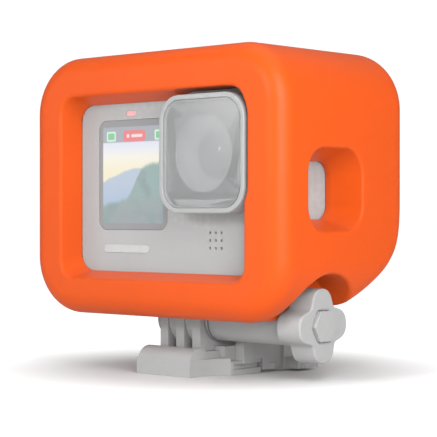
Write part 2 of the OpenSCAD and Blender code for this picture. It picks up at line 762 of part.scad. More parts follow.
// ---------- electronics ----------

module main_board() color([0.08, 0.32, 0.2])
    plate_y(inner_w - 2, board_z1 - board_z0, 2, board_y0, board_y0 + board_t, 0,
        (board_z0 + board_z1) / 2);

module heat_sink() color([0.75, 0.76, 0.78])
    difference() {
        plate_y(sink_w, sink_h, 2, sink_y0, sink_y0 + sink_t, sink_x, sink_z);
        for (i = [0:fin_n - 1])
            block([sink_x + (i - (fin_n - 1) / 2) * fin_pitch - fin_gap / 2, sink_y0 + sink_t / 2,
                    sink_z - sink_h / 2 + 2],
                [sink_x + (i - (fin_n - 1) / 2) * fin_pitch + fin_gap / 2, sink_y0 + sink_t + past,
                    sink_z + sink_h / 2 - 2]);
    }

module front_display() color([0.2, 0.45, 0.5])
    plate_y(front_win_w - 2 * win_ledge - 0.2, front_win_h - 2 * win_ledge - 0.2,
        win_r - win_ledge, cam_y0 + win_recess + win_t, cam_y0 + win_recess + win_t + display_t,
        front_win_x, front_win_z);

module front_display_window() color([0.25, 0.25, 0.26])
    plate_y(front_win_w - 2 * seat_fit, front_win_h - 2 * seat_fit, win_r, cam_y0 + win_recess,
        cam_y0 + win_recess + win_t, front_win_x, front_win_z);

module touch_screen() color([0.15, 0.15, 0.16])
    plate_y(touch_w - 2 * win_ledge - 0.2, touch_h - 2 * win_ledge - 0.2, win_r - win_ledge,
        cam_y1 - win_recess - win_t - touch_t, cam_y1 - win_recess - win_t, 0, cam_zc);

module touch_screen_glass() color([0.12, 0.12, 0.13])
    plate_y(touch_w - 2 * seat_fit, touch_h - 2 * seat_fit, win_r, cam_y1 - win_recess - win_t,
        cam_y1 - win_recess, 0, cam_zc);

module status_light() color([0.9, 0.25, 0.25])
    plate_y(light_w - 2 * seat_fit, light_h - 2 * seat_fit, light_h / 2, cam_y0 + 0.05,
        cam_y0 + shell_t + 0.6, light_x, light_z);

module front_badge() color([0.8, 0.8, 0.79])
    plate_y(badge_w, badge_h, badge_h / 2, cam_y0 - badge_t, cam_y0, badge_x, badge_z);

module microphone() color([0.3, 0.3, 0.3])
    rod_y(mic_r, cam_y0 + shell_t, cam_y0 + shell_t + mic_t, mic_x, mic_z);

module speaker() color([0.25, 0.25, 0.26])
    plate_y(speaker_w, speaker_h, 2, rear_y0 + 0.4, rear_y0 + 0.4 + speaker_t, inner_x - 6.3,
        cam_z0 + 13);

// ---------- battery, door and sockets ----------

module battery() color([0.3, 0.3, 0.32])
    plate_y(battery_l, battery_h, 2.5, battery_y0, battery_y0 + battery_t,
        battery_x0 + battery_l / 2, battery_z0 + battery_h / 2);

module battery_door() color([0.62, 0.62, 0.61])
    difference() {
        union() {
            plate_x(door_w, door_h, door_r, -cam_w / 2, -cam_w / 2 + door_t, door_y, door_z);
            plate_x(door_w - 2 * (door_ledge + seal_w), door_h - 2 * (door_ledge + seal_w),
                door_r - door_ledge - seal_w, -cam_w / 2 + door_t / 2,
                -cam_w / 2 + door_t + plug_t, door_y, door_z);
        }
        rod_y(door_pin_r, door_y - door_w, door_y + door_w, -cam_w / 2 + door_t / 2, door_pin_z,
            $fn = 24);
        plate_x(latch_w, latch_h, 1, -cam_w / 2 - past, -cam_w / 2 + latch_pocket, door_y,
            latch_z);
    }

module door_seal() color([0.2, 0.2, 0.2])
    difference() {
        plate_x(door_w - 2 * door_ledge - 0.1, door_h - 2 * door_ledge - 0.1,
            door_r - door_ledge, -cam_w / 2 + door_t, -cam_w / 2 + door_t + 0.9, door_y, door_z);
        plate_x(door_w - 2 * (door_ledge + seal_w), door_h - 2 * (door_ledge + seal_w),
            door_r - door_ledge - seal_w, -cam_w / 2, -cam_w / 2 + door_t + 3, door_y, door_z);
    }

module door_hinge_pin() color([0.78, 0.78, 0.8])
    rod_y(door_pin_r, door_y - door_w / 2 - door_pin_end, door_y + door_w / 2 + door_pin_end,
        -cam_w / 2 + door_t / 2, door_pin_z, $fn = 24);

module door_latch() color([0.5, 0.5, 0.5])
    plate_x(latch_w - 2 * seat_fit, latch_h - 2 * seat_fit, 1, -cam_w / 2 + seat_fit,
        -cam_w / 2 + latch_pocket, door_y, latch_z);

module usb_port() color([0.78, 0.78, 0.8])
    difference() {
        plate_x(usb_w, usb_h, usb_h / 2, -inner_x + 1.5, -inner_x + 1.5 + usb_l, usb_y, usb_z);
        plate_x(usb_w - 2 * usb_wall, usb_h - 2 * usb_wall, usb_h / 2 - usb_wall, -inner_x,
            -inner_x + usb_l, usb_y, usb_z);
    }

// Sleeve open towards the door, with the card pushed home in it
module card_slot() color([0.7, 0.7, 0.72])
    difference() {
        block([card_x0, rear_y0 + 0.1, card_z - card_w / 2 - slot_wall - seat_fit],
            [card_x0 + card_l + slot_wall, rear_y0 + 0.1 + card_t + 2 * slot_wall,
                card_z + card_w / 2 + slot_wall + seat_fit]);
        block([card_x0 - past, rear_y0 + 0.1 + slot_wall, card_z - card_w / 2 - seat_fit],
            [card_x0 + card_l + seat_fit, rear_y0 + 0.1 + slot_wall + card_t,
                card_z + card_w / 2 + seat_fit]);
    }

module memory_card() color([0.12, 0.12, 0.12])
    block([card_x0 - 0.2, rear_y0 + 0.1 + slot_wall, card_z - card_w / 2],
        [card_x0 + card_l, rear_y0 + 0.1 + slot_wall + card_t, card_z + card_w / 2]);

// ---------- buttons ----------

module shutter_button() color([0.64, 0.64, 0.63]) {
    flange_z1 = cam_z1 - shell_t - flange_gap;
    rod_z(shutter_r, flange_z1 - flange_t / 2, cam_z1 + shutter_proud, shutter_x, pivot_y);
    rod_z(shutter_r + flange_step, flange_z1 - flange_t, flange_z1, shutter_x, pivot_y);
}

module shutter_switch() color([0.3, 0.3, 0.3]) {
    top = cam_z1 - shell_t - flange_gap - flange_t - shutter_travel - switch_gap;
    rod_z(2.2, top - 1.6, top, shutter_x, pivot_y);
    plate_z(7, 7, 1, top - 2.8, top - 1.2, shutter_x, pivot_y);
}

module mode_button() color([0.64, 0.64, 0.63]) {
    flange_x1 = cam_w / 2 - shell_t - flange_gap;
    plate_x(mode_w, mode_l, mode_w, flange_x1 - flange_t / 2, cam_w / 2 + mode_proud,
        pivot_y, mode_z);
    plate_x(mode_w + 2 * flange_step, mode_l + 2 * flange_step, mode_w, flange_x1 - flange_t,
        flange_x1, pivot_y, mode_z);
}

module mode_switch() color([0.3, 0.3, 0.3]) {
    face = cam_w / 2 - shell_t - flange_gap - flange_t - mode_travel - switch_gap;
    plate_x(2.4, 4, 1, face - 1.2, face, pivot_y, mode_z);
    plate_x(6, 9, 1, face - 2, face - 1, pivot_y, mode_z);
}

// ---------- nodes ----------

mount_buckle();
latch_arm_left();
latch_arm_right();
lock_nut();
screw_washer();
thumb_knob();
screw_sleeve();
clamp_bolt();
float_case();
front_housing();
rear_housing();
housing_gasket();
housing_screws();
finger_left();
finger_right();
finger_pins();
finger_base();
lens_boss();
lens_cover_frame();
lens_cover_glass();
lens_cover_seal();
lens_barrel();
front_lens();
rear_lens();
sensor_board();
main_board();
heat_sink();
front_display();
front_display_window();
touch_screen();
touch_screen_glass();
status_light();
front_badge();
microphone();
speaker();
battery();
battery_door();
door_seal();
door_hinge_pin();
door_latch();
usb_port();
card_slot();
memory_card();
shutter_button();
shutter_switch();
mode_button();
mode_switch();
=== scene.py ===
"""Looks of an action camera in a foam float case, on a quick-release buckle.

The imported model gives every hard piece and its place. This script carves the soft foam
case as one smooth skin, eases the edges of the moulded pieces, gives each piece its
finish, and sets the studio.
"""
import json
import math

import bpy
import numpy as np
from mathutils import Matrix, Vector


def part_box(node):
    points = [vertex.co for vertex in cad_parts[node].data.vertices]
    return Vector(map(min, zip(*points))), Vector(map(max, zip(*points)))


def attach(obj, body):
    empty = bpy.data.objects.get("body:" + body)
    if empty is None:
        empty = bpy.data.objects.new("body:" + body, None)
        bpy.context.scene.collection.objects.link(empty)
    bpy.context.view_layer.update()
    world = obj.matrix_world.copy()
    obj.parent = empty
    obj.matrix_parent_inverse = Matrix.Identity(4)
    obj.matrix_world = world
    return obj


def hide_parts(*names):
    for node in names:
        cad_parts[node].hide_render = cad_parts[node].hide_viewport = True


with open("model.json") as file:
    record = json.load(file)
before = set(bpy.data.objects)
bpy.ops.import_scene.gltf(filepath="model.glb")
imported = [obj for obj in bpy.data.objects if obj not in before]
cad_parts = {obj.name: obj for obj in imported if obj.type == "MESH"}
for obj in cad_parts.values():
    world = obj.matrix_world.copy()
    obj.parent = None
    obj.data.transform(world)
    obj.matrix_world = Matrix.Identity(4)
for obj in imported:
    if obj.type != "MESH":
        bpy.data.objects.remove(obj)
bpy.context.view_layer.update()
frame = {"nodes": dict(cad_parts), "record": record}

MM = 0.001


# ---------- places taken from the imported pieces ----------

def span(*nodes):
    """Lowest and highest corners of some pieces together."""
    boxes = [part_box(node) for node in nodes]
    low = Vector([min(box[0][i] for box in boxes) for i in range(3)])
    high = Vector([max(box[1][i] for box in boxes) for i in range(3)])
    return low, high


def middle(pair):
    return (pair[0] + pair[1]) / 2


CASE = span("float_case")
BODY = span("front_housing", "rear_housing")
COVER = span("lens_cover_frame")
TOUCH = span("touch_screen_glass")
KNOB = span("thumb_knob")
WINDOW = span("front_display_window")
SHUTTER = middle(span("shutter_button"))
MODE = middle(span("mode_button"))
PIVOT = middle(KNOB)
LENS = middle(COVER)


# ---------- smooth solids written as distance fields ----------

def round_rect(u, v, half_u, half_v, r):
    """Distance to a rectangle with round corners, less than nothing inside it."""
    out_u = np.abs(u) - half_u + r
    out_v = np.abs(v) - half_v + r
    corner = np.hypot(np.maximum(out_u, 0), np.maximum(out_v, 0))
    return corner + np.minimum(np.maximum(out_u, out_v), 0) - r


def smooth_max(a, b, k):
    share = np.clip(0.5 + 0.5 * (a - b) / k, 0, 1)
    return b + (a - b) * share + k * share * (1 - share)


def cut(body, hole, k):
    """Body less hole, with the edge between them rounded over about k."""
    return smooth_max(body, -hole, k)


def rounded_slab(flat, depth, edge):
    """A flat outline given a depth, with its edges rounded."""
    a = flat + edge
    b = depth + edge
    return np.hypot(np.maximum(a, 0), np.maximum(b, 0)) + np.minimum(np.maximum(a, b), 0) - edge


def between(value, low, high):
    """How far along from low to high, from 0 to 1 and on past 1."""
    return np.maximum((value - low) / (high - low), 0)


def gradient(field, points, step=0.02 * MM):
    slopes = []
    for axis in range(3):
        ahead, back = points.copy(), points.copy()
        ahead[:, axis] += step
        back[:, axis] -= step
        slopes.append((field(*ahead.T) - field(*back.T)) / (2 * step))
    return np.stack(slopes, axis=1)


CUBE_CORNERS = [(i, j, k) for i in (0, 1) for j in (0, 1) for k in (0, 1)]
CUBE_EDGES = [(a, b) for a in range(8) for b in range(a + 1, 8)
              if sum(abs(p - q) for p, q in zip(CUBE_CORNERS[a], CUBE_CORNERS[b])) == 1]


def skin_of(name, field, low, high, cell):
    """A closed quad mesh over the surface where the field is nothing."""
    low = np.array(low) - 1.5 * cell
    counts = np.ceil((np.array(high) + 1.5 * cell - low) / cell).astype(int) + 1
    axes = [low[i] + cell * np.arange(counts[i]) for i in range(3)]
    value = field(*np.meshgrid(*axes, indexing="ij"))
    inside = value < 0

    # one point in each cell that the surface passes through
    ends = [tuple(slice(c, counts[i] - 1 + c) for i, c in enumerate(corner))
            for corner in CUBE_CORNERS]
    filled = sum(inside[end].astype(int) for end in ends)
    crossed = (filled > 0) & (filled < 8)
    index = np.full(crossed.shape, -1)
    index[crossed] = np.arange(crossed.sum())
    corner_value = np.stack([value[end][crossed] for end in ends])
    total = np.zeros((crossed.sum(), 3))
    hits = np.zeros(crossed.sum())
    for a, b in CUBE_EDGES:
        hit = (corner_value[a] < 0) != (corner_value[b] < 0)
        gap = np.where(hit, corner_value[a] - corner_value[b], 1)
        share = np.where(hit, corner_value[a] / gap, 0)[:, None]
        place = np.array(CUBE_CORNERS[a]) * (1 - share) + np.array(CUBE_CORNERS[b]) * share
        total += np.where(hit[:, None], place, 0)
        hits += hit
    points = low + cell * (np.stack(np.nonzero(crossed), axis=1) + total / hits[:, None])

    # a quad round each grid edge that the surface crosses
    quads = []
    for order in ((0, 1, 2), (1, 2, 0), (2, 0, 1)):
        side, cells = inside.transpose(order), index.transpose(order)
        i, j, k = np.nonzero(side[:-1, 1:-1, 1:-1] != side[1:, 1:-1, 1:-1])
        quad = np.stack([cells[i, j, k], cells[i, j + 1, k], cells[i, j + 1, k + 1],
                         cells[i, j, k + 1]], axis=1)
        outward = side[i, j + 1, k + 1]
        quads.append(np.where(outward[:, None], quad, quad[:, ::-1]))
    quads = np.concatenate(quads)

    # draw the points onto the true surface
    start = points.copy()
    for _ in range(4):
        slope = gradient(field, points)
        steep = np.maximum((slope ** 2).sum(axis=1), 0.05)
        points = points - (field(*points.T) / steep)[:, None] * slope
        points = start + np.clip(points - start, -0.6 * cell, 0.6 * cell)
    normals = gradient(field, points)
    normals /= np.maximum(np.linalg.norm(normals, axis=1), 1e-9)[:, None]

    mesh = bpy.data.meshes.new(name)
    mesh.vertices.add(len(points))
    mesh.vertices.foreach_set("co", points.astype(np.float32).ravel())
    mesh.loops.add(quads.size)
    mesh.loops.foreach_set("vertex_index", quads.astype(np.int32).ravel())
    mesh.polygons.add(len(quads))
    mesh.polygons.foreach_set("loop_start", np.arange(0, quads.size, 4, dtype=np.int32))
    mesh.polygons.foreach_set("use_smooth", np.ones(len(quads), dtype=bool))
    mesh.update(calc_edges=True)
    mesh.validate()
    mesh.normals_split_custom_set_from_vertices(normals.tolist())
    piece = bpy.data.objects.new(name, mesh)
    bpy.context.scene.collection.objects.link(piece)
    return piece


# ---------- the foam case ----------

CASE_CORNER = 16 * MM
CASE_EDGE = 5.7 * MM

# slope of the rear underside: its wall under the camera, and how softly it meets the case
RISE_ANGLE = math.radians(40)
RISE_WALL = 6.2 * MM
RISE_EDGE = 4 * MM
RISE_ROLL = 12 * MM
RISE_OVERRUN = 2 * MM

# pocket for the camera, the mouth in front of it and the room round the lens cover
BODY_CORNER = 5 * MM
POCKET_EDGE = 0.3 * MM
FACE_LIP = 2.1 * MM
MOUTH_GROW = 0.9 * MM
MOUTH_RISE = 0.2 * MM
MOUTH_EDGE = 0.9 * MM
COVER_CORNER = 7 * MM
COVER_ROOM = 0.8 * MM
COVER_ROOM_TOP = 1.6 * MM

# window over the touch screen, which widens outwards
REAR_WALL_LOW = 8 * MM
REAR_WALL_TOP = 8.5 * MM
REAR_ROOM = 0.5 * MM
REAR_FLARE = 3 * MM
REAR_CORNER = 4 * MM
REAR_CORNER_GROW = 4 * MM
REAR_EDGE = 2.2 * MM
REAR_STEEPNESS = 0.9

# finger hole over the mode button: half sizes at the camera, and their growth outwards
SIDE_BACK = 2 * MM
SIDE_SKIN = 2 * MM
SIDE_HALF_Y, SIDE_GROW_Y = 9 * MM, 2.35 * MM
SIDE_HALF_Z, SIDE_GROW_Z = 7.7 * MM, 3.3 * MM
SIDE_CORNER, SIDE_CORNER_GROW = 4 * MM, 3 * MM
SIDE_EDGE = 0.7 * MM
SIDE_STEEPNESS = 0.94

# finger hole over the shutter button
TOP_HOLE_R, TOP_HOLE_GROW = 7 * MM, 2.5 * MM
TOP_HOLE_EDGE = 1.6 * MM

# room under the camera for the prongs, the screw's sleeve and the knob
PRONGS_X = -1.475 * MM
PRONGS_HALF_X = 10.125 * MM
PRONGS_HALF_Y = 9 * MM
GROOVE_R = 7.4 * MM
SCOOP_R = 13 * MM
SCOOP_BACK = 0.9 * MM
SCOOP_UP = 0.6 * MM
SCOOP_UNDER_BODY = 0.5 * MM
UNDERSIDE_EDGE = 0.8 * MM


def foam_shape(x, y, z):
    case_mid, body_mid = middle(CASE), middle(BODY)
    half = (CASE[1] - CASE[0]) / 2
    body_half = (BODY[1] - BODY[0]) / 2

    # the block, and the slope of its rear underside
    outline = round_rect(x, z - case_mid.z, half.x, half.z, CASE_CORNER)
    solid = rounded_slab(outline, np.abs(y - case_mid.y) - half.y, CASE_EDGE)
    foot_y = BODY[1].y + RISE_WALL * math.sin(RISE_ANGLE)
    foot_z = BODY[0].z - RISE_WALL * math.cos(RISE_ANGLE)
    slope = (y - foot_y) * math.sin(RISE_ANGLE) - (z - foot_z) * math.cos(RISE_ANGLE)
    slope = smooth_max(slope, y - CASE[1].y - RISE_OVERRUN, RISE_ROLL)
    solid = smooth_max(solid, slope, RISE_EDGE)

    # room for the camera, and the window in front of it
    pocket = np.maximum(round_rect(x, z - body_mid.z, body_half.x, body_half.z, BODY_CORNER),
                        np.abs(y - body_mid.y) - body_half.y)
    out = between(BODY[0].y - y, 0, BODY[0].y - CASE[0].y)
    mouth = round_rect(x, z - body_mid.z, body_half.x - FACE_LIP + MOUTH_GROW * out,
                       body_half.z - FACE_LIP + (FACE_LIP + MOUTH_RISE) * out, BODY_CORNER)
    mouth = np.maximum(mouth, y - body_mid.y)
    cover_half = (COVER[1] - COVER[0]) / 2
    more_room = (COVER_ROOM_TOP - COVER_ROOM) / 2
    relief = round_rect(x - LENS.x, z - LENS.z - more_room, cover_half.x + COVER_ROOM,
                        cover_half.z + COVER_ROOM + more_room, COVER_CORNER + COVER_ROOM)
    relief = np.maximum(relief, y - body_mid.y)
    solid = cut(solid, np.minimum(mouth, relief), MOUTH_EDGE)
    solid = cut(solid, pocket, POCKET_EDGE)

    # window over the touch screen
    back = between(y, BODY[1].y, CASE[1].y)
    rise_top = BODY[0].z - RISE_WALL / math.cos(RISE_ANGLE) \
        + (CASE[1].y - BODY[1].y) * math.tan(RISE_ANGLE)
    far_low, far_high = rise_top + REAR_WALL_LOW, CASE[1].z - REAR_WALL_TOP
    touch_half = (TOUCH[1] - TOUCH[0]) / 2
    near_w, near_h = touch_half.x + REAR_ROOM, touch_half.z + REAR_ROOM
    window = round_rect(x, z - body_mid.z - ((far_low + far_high) / 2 - body_mid.z) * back,
                        near_w + (touch_half.x + REAR_FLARE - near_w) * back,
                        near_h + ((far_high - far_low) / 2 - near_h) * back,
                        REAR_CORNER + REAR_CORNER_GROW * back)
    solid = cut(solid, np.maximum(window * REAR_STEEPNESS, body_mid.y - y), REAR_EDGE)

    # finger hole over the mode button
    out = between(x, BODY[1].x + SIDE_SKIN, CASE[1].x)
    hole = round_rect(y - PIVOT.y - SIDE_BACK, z - MODE.z, SIDE_HALF_Y + SIDE_GROW_Y * out,
                      SIDE_HALF_Z + SIDE_GROW_Z * out, SIDE_CORNER + SIDE_CORNER_GROW * out)
    solid = cut(solid, np.maximum(hole * SIDE_STEEPNESS, body_mid.x - x), SIDE_EDGE)

    # finger hole over the shutter button
    up = between(z, BODY[1].z, CASE[1].z)
    funnel = np.hypot(x - SHUTTER.x, y - SHUTTER.y) - TOP_HOLE_R - TOP_HOLE_GROW * up
    solid = cut(solid, np.maximum(funnel, body_mid.z - z), TOP_HOLE_EDGE)

    # room for the prongs, the screw's sleeve and the knob
    slot = np.maximum(np.abs(x - PRONGS_X) - PRONGS_HALF_X, np.abs(y - PIVOT.y) - PRONGS_HALF_Y)
    slot = np.maximum(slot, z - body_mid.z)
    from_axis = np.hypot(y - PIVOT.y, z - PIVOT.z)
    groove = np.maximum(from_axis - GROOVE_R, np.maximum(-x, x - KNOB[0].x))
    from_scoop = np.hypot(y - PIVOT.y - SCOOP_BACK, z - PIVOT.z - SCOOP_UP)
    scoop = np.maximum(from_scoop - SCOOP_R, BODY[1].x - SCOOP_UNDER_BODY - x)
    for hollow in (slot, groove, scoop):
        solid = cut(solid, hollow, UNDERSIDE_EDGE)
    return solid


FOAM_CELL = 0.7 * MM


def build_foam():
    cell = FOAM_CELL
    foam = skin_of("foam_case", foam_shape, CASE[0], CASE[1], cell)
    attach(foam, "camera")
    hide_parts("float_case")
    return foam


# ---------- eased edges on the moulded pieces ----------

def ease(node, width, segments=3, sharp=32):
    """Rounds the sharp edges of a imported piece, and keeps its flat faces flat."""
    piece = frame["nodes"][node]
    weld = piece.modifiers.new("join seams", "WELD")
    weld.merge_threshold = 0.002 * MM
    flats = piece.modifiers.new("clear flats", "DECIMATE")
    flats.decimate_type = "DISSOLVE"
    flats.angle_limit = math.radians(1)
    edges = piece.modifiers.new("eased edges", "BEVEL")
    edges.width = width
    edges.segments = segments
    edges.limit_method = "ANGLE"
    edges.angle_limit = math.radians(sharp)
    edges.use_clamp_overlap = True
    edges.miter_outer = "MITER_ARC"
    normals = piece.modifiers.new("even shading", "WEIGHTED_NORMAL")
    normals.weight = 60
    return piece


EASED = {
    "mount_buckle": 0.3, "latch_arm_left": 0.25, "latch_arm_right": 0.25, "thumb_knob": 0.55,
    "screw_sleeve": 0.15, "clamp_bolt": 0.25, "screw_washer": 0.1, "finger_left": 0.25,
    "finger_right": 0.25, "front_housing": 0.3, "rear_housing": 0.3, "lens_cover_frame": 0.35,
    "lens_boss": 0.15, "lens_barrel": 0.12, "shutter_button": 0.25, "mode_button": 0.2,
    "front_badge": 0.08, "status_light": 0.1, "battery_door": 0.2, "lock_nut": 0.15,
    "lens_cover_glass": 0.25, "front_display_window": 0.1, "touch_screen_glass": 0.1,
}


# ---------- building materials ----------

def srgb(red, green, blue):
    """A colour as a paint chart gives it, out of 255, in linear light."""
    def linear(level):
        level /= 255
        return level / 12.92 if level <= 0.04045 else ((level + 0.055) / 1.055) ** 2.4
    return (linear(red), linear(green), linear(blue), 1.0)


class Graph:
    """Short calls for adding nodes to one node tree."""

    def __init__(self, tree):
        self.tree = tree

    def add(self, kind, inputs=None, **settings):
        node = self.tree.nodes.new(kind)
        for name, value in settings.items():
            setattr(node, name, value)
        for name, value in (inputs or {}).items():
            self.feed(node.inputs[name], value)
        return node

    def feed(self, socket, value):
        if isinstance(value, bpy.types.NodeSocket):
            self.tree.links.new(value, socket)
        else:
            socket.default_value = value

    def math(self, operation, a, b=0.0, clamp=False):
        node = self.add("ShaderNodeMath", {0: a, 1: b}, operation=operation, use_clamp=clamp)
        return node.outputs[0]

    def blend(self, share, a, b, how="MIX"):
        node = self.add("ShaderNodeMix", data_type="RGBA", blend_type=how)
        self.feed(node.inputs["Factor"], share)
        colours = [s for s in node.inputs if s.type == "RGBA"]
        self.feed(colours[0], a)
        self.feed(colours[1], b)
        return next(s for s in node.outputs if s.type == "RGBA")

    def step(self, value, low, high, to_low=0.0, to_high=1.0):
        node = self.add("ShaderNodeMapRange", interpolation_type="SMOOTHSTEP")
        for name, number in (("Value", value), ("From Min", low), ("From Max", high),
                             ("To Min", to_low), ("To Max", to_high)):
            self.feed(node.inputs[name], number)
        return node.outputs["Result"]

    def place(self, stretch=(1, 1, 1)):
        """The place on the piece in millimetres, stretched along each axis."""
        where = self.add("ShaderNodeTexCoord").outputs["Object"]
        scale = tuple(s / MM for s in stretch)
        return self.add("ShaderNodeVectorMath", {0: where, 1: scale}, operation="MULTIPLY").outputs[0]

    def noise(self, size, detail=3.0, where=None, roughness=0.5):
        """Cloudy noise whose blobs are about size millimetres across."""
        scale = self.math("DIVIDE", 1.0, size) if isinstance(size, bpy.types.NodeSocket) else 1 / size
        return self.add("ShaderNodeTexNoise", {
            "Vector": where or self.place(), "Scale": scale, "Detail": detail,
            "Roughness": roughness}).outputs["Fac"]

    def group(self, name, **inputs):
        node = self.add("ShaderNodeGroup", node_tree=bpy.data.node_groups[name])
        for key, value in inputs.items():
            self.feed(node.inputs[key.replace("_", " ")], value)
        return node


def define_group(name, inputs, outputs, build):
    """A shared effect: build gets the graph and the input sockets, and returns the outputs."""
    tree = bpy.data.node_groups.new(name, "ShaderNodeTree")
    for key, kind, value in inputs:
        socket = tree.interface.new_socket(key, in_out="INPUT", socket_type="NodeSocket" + kind)
        socket.default_value = value
    for key, kind in outputs:
        tree.interface.new_socket(key, in_out="OUTPUT", socket_type="NodeSocket" + kind)
    g = Graph(tree)
    given = g.add("NodeGroupInput").outputs
    results = build(g, {key: given[key] for key, _, _ in inputs})
    end = g.add("NodeGroupOutput")
    for (key, _), socket in zip(outputs, results):
        tree.links.new(socket, end.inputs[key])


def grain_parts(g, given):
    coarse = g.noise(given["Size"], 4)
    fine = g.noise(g.math("MULTIPLY", given["Size"], 0.3), 2)
    return [g.math("ADD", g.math("MULTIPLY", coarse, 0.65), g.math("MULTIPLY", fine, 0.35))]


def tone_parts(g, given):
    drift = g.math("SUBTRACT", g.noise(given["Size"], 5, roughness=0.62), 0.5)
    gain = g.math("ADD", 1.0, g.math("MULTIPLY", drift, given["Spread"]))
    grey = g.add("ShaderNodeCombineColor", {0: gain, 1: gain, 2: gain}).outputs[0]
    return [g.blend(1.0, given["Colour"], grey, "MULTIPLY")]


def smudge_parts(g, given):
    broad = g.step(g.noise(given["Size"], 3), 0.42, 0.72)
    streak = g.noise(2.2, 4, where=g.place((1, 1, 0.25)))
    return [g.math("MULTIPLY", g.math("MULTIPLY", broad, g.step(streak, 0.3, 0.8)),
                   given["Amount"], clamp=True)]


def dust_parts(g, given):
    normal = g.add("ShaderNodeNewGeometry").outputs["Normal"]
    up = g.add("ShaderNodeSeparateXYZ", {0: normal}).outputs["Z"]
    settled = g.step(up, 0.35, 1.0)
    specks = g.step(g.noise(0.5, 2), 0.56, 0.72)
    film = g.noise(7, 3)
    amount = g.math("ADD", g.math("MULTIPLY", specks, 0.7), g.math("MULTIPLY", film, 0.5))
    return [g.math("MULTIPLY", g.math("MULTIPLY", settled, amount), given["Amount"], clamp=True)]


def rub_parts(g, given):
    point = g.add("ShaderNodeNewGeometry").outputs["Pointiness"]
    edge = g.step(point, 0.515, 0.57)
    patchy = g.step(g.noise(1.6, 3), 0.35, 0.65)
    return [g.math("MULTIPLY", g.math("MULTIPLY", edge, patchy), given["Amount"], clamp=True)]


def foam_parts(g, given):
    where = g.place()
    cells = g.add("ShaderNodeTexVoronoi", {"Vector": where, "Scale": g.math("DIVIDE", 1.0, given["Cell"]),
                                           "Randomness": 1.0}, feature="F1").outputs["Distance"]
    skin = g.noise(g.math("MULTIPLY", given["Cell"], 2.6), 4)
    ripple = g.noise(26, 2)
    height = g.math("ADD", g.math("MULTIPLY", cells, 0.42), g.math("MULTIPLY", skin, 0.5))
    height = g.math("ADD", height, g.math("MULTIPLY", ripple, given["Ripple"]))
    pores = g.math("MULTIPLY", g.step(cells, 0.62, 0.95), g.step(g.noise(3.0, 2), 0.5, 0.7))
    return [height, pores]


def brush_parts(g, given):
    lines = g.noise(given["Size"], 5, where=g.place((0.06, 1, 1)))
    return [lines, g.step(lines, 0.35, 0.65)]


def trace_parts(g, given):
    """Straight copper tracks and round pads over a board that stands in X and Z."""
    where = g.place()
    axes = g.add("ShaderNodeSeparateXYZ", {0: where})
    runs = []
    for axis, other in (("X", "Z"), ("Z", "X")):
        lane = g.math("FRACT", g.math("DIVIDE", axes.outputs[axis], given["Pitch"]))
        line = g.math("MULTIPLY", g.step(lane, 0.36, 0.42), g.step(lane, 0.64, 0.58))
        row = g.math("FLOOR", g.math("DIVIDE", axes.outputs[axis], given["Pitch"]))
        stretch = g.math("FLOOR", g.math("DIVIDE", axes.outputs[other], 5.5))
        chance = g.add("ShaderNodeTexWhiteNoise", {
            "Vector": g.add("ShaderNodeCombineXYZ", {0: row, 1: stretch}).outputs[0]}).outputs["Value"]
        runs.append(g.math("MULTIPLY", line, g.math("GREATER_THAN", chance, 0.62)))
    pads = g.add("ShaderNodeTexVoronoi", {"Vector": where, "Scale": 0.45, "Randomness": 0.85})
    pad = g.step(pads.outputs["Distance"], 0.24, 0.2)
    return [g.math("MAXIMUM", runs[0], runs[1]), pad]


define_group("fine grain", [("Size", "Float", 0.4)], [("Height", "Float")], grain_parts)
define_group("tone drift", [("Colour", "Color", (1, 1, 1, 1)), ("Size", "Float", 12.0),
                            ("Spread", "Float", 0.1)], [("Colour", "Color")], tone_parts)
define_group("handling smudges", [("Size", "Float", 9.0), ("Amount", "Float", 0.5)],
             [("Mask", "Float")], smudge_parts)
define_group("settled dust", [("Amount", "Float", 0.1)], [("Mask", "Float")], dust_parts)
define_group("rubbed edges", [("Amount", "Float", 0.4)], [("Mask", "Float")], rub_parts)
define_group("foam skin", [("Cell", "Float", 0.5), ("Ripple", "Float", 1.0)],
             [("Height", "Float"), ("Pores", "Float")], foam_parts)
define_group("brushed lines", [("Size", "Float", 0.12)], [("Height", "Float"), ("Lines", "Float")],
             brush_parts)
define_group("board tracks", [("Pitch", "Float", 0.9)], [("Tracks", "Float"), ("Pads", "Float")],
             trace_parts)


# ---------- colours ----------

FOAM_ORANGE = (0.89, 0.108, 0.009, 1)
FOAM_DEEP = (0.72, 0.06, 0.006, 1)
FOAM_WORN = (0.95, 0.19, 0.04, 1)
FOAM_ROUGH = 0.4
FOAM_PALE_BOUNCE = 0.85
SHELL_GREY = srgb(191, 191, 191)
MOUNT_GREY = srgb(187, 187, 187)
SCREEN_GREY = srgb(152, 152, 154)
COVER_GREY = srgb(178, 179, 179)
PALE_DUST = srgb(214, 208, 198)
NEUTRAL_BOUNCE = (0.42, 0.40, 0.39, 1)
BLACK = (0, 0, 0, 1)
WHITE = (1, 1, 1, 1)


def new_material(name):
    material = bpy.data.materials.new(name)
    material.use_nodes = True
    material.node_tree.nodes.clear()
    g = Graph(material.node_tree)
    shader = g.add("ShaderNodeBsdfPrincipled")
    output = g.add("ShaderNodeOutputMaterial")
    g.tree.links.new(shader.outputs[0], output.inputs["Surface"])
    return material, g, shader


def add_bump(g, shader, height, depth):
    """Raises the surface by the height, depth millimetres from lowest to highest."""
    bump = g.add("ShaderNodeBump", {"Height": height, "Distance": depth * MM, "Strength": 1.0})
    g.feed(shader.inputs["Normal"], bump.outputs["Normal"])


